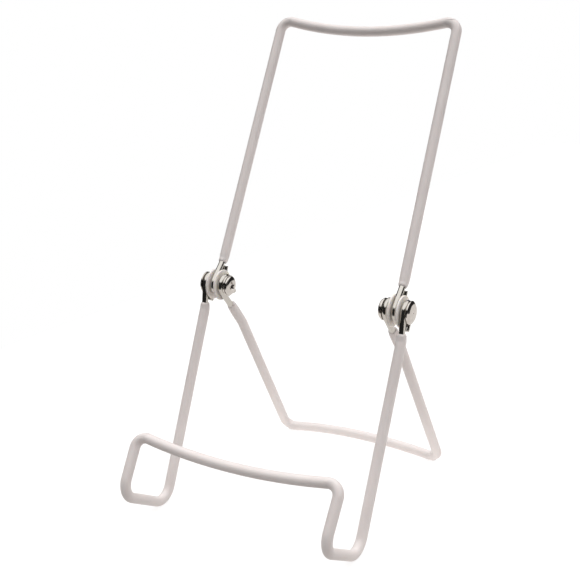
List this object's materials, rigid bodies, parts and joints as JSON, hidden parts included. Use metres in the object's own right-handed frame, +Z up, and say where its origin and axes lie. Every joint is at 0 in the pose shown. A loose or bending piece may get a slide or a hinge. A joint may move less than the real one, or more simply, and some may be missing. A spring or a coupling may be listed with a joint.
{
  "type": "photo album stand",
  "caption": "Folding wire easel for a photo album: a front frame with hooks and a lip, a back rest and a rear leg, hinged together on two clamped pivots.",
  "frame": {"origin": "centre of the bounding box's bottom, on the surface that the stand rests on", "axes": "+Z up, -Y towards the front, where the lip is, +X to the right as seen from the front, along the pivots' common axis"},
  "size_m": [0.1148, 0.145, 0.2321],
  "materials": {
    "bright_steel_wire": "drawn and bright",
    "white_vinyl": "satin dip coating",
    "plated_steel": "bright nickel plating",
    "natural_nylon": "satin"
  },
  "bodies": {
    "front_frame": {"front_frame_wire": "bright_steel_wire", "front_frame_coating": "white_vinyl", "left_barrel_nut": "plated_steel", "right_barrel_nut": "plated_steel", "left_pan_screw": "plated_steel", "right_pan_screw": "plated_steel", "left_steel_washer": "plated_steel", "right_steel_washer": "plated_steel", "left_outer_nylon_washer": "natural_nylon", "right_outer_nylon_washer": "natural_nylon", "left_inner_nylon_washer": "natural_nylon", "right_inner_nylon_washer": "natural_nylon"},
    "back_rest": {"back_rest_wire": "bright_steel_wire", "back_rest_coating": "white_vinyl"},
    "rear_leg": {"rear_leg_wire": "bright_steel_wire", "rear_leg_coating": "white_vinyl"}
  },
  "joints": [
    {"name": "back_rest_tilt", "type": "hinge", "parent": "front_frame", "child": "back_rest", "pos_m": [0, 0.00502, 0.10187], "axis": [1, 0, 0], "range_deg": [-60, 155]},
    {"name": "rear_leg_fold", "type": "hinge", "parent": "front_frame", "child": "rear_leg", "pos_m": [0, 0.00502, 0.10187], "axis": [1, 0, 0], "range_deg": [-57, 45]}
  ]
}
